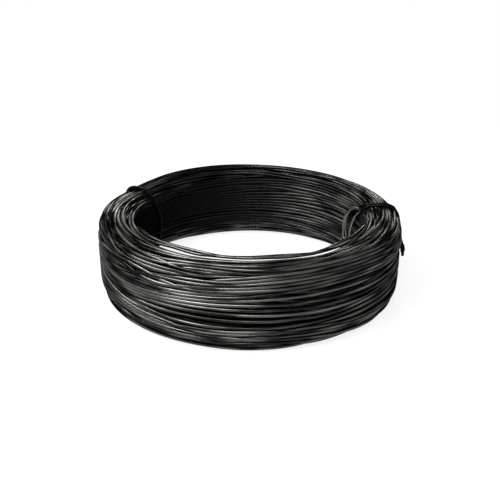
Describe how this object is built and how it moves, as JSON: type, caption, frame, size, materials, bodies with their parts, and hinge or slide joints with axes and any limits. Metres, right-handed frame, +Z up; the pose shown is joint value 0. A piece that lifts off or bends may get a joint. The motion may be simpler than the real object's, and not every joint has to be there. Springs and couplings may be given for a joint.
{
  "type": "coil of binding wire",
  "caption": "Ring-shaped coil of black annealed steel binding wire, its turns bundled into a rounded section and held by short wire ties.",
  "frame": {"origin": "on the surface that the coil lies on, under the centre of its bore", "axes": "+Z up along the bore's axis, -Y towards the side that the picture shows nearest, and the twisted tie near +X"},
  "size_m": [0.1682, 0.1658, 0.0438],
  "materials": {
    "annealed_wire": "soft annealed steel wire with a thin, satin, near-black oxide skin",
    "tie_wire": "the same black annealed wire, cut short and twisted, with bright cut ends"
  },
  "bodies": {
    "root": {"wire_coil": "annealed_wire", "tie_wire_right": "tie_wire", "tie_wire_left": "tie_wire"}
  },
  "joints": []
}
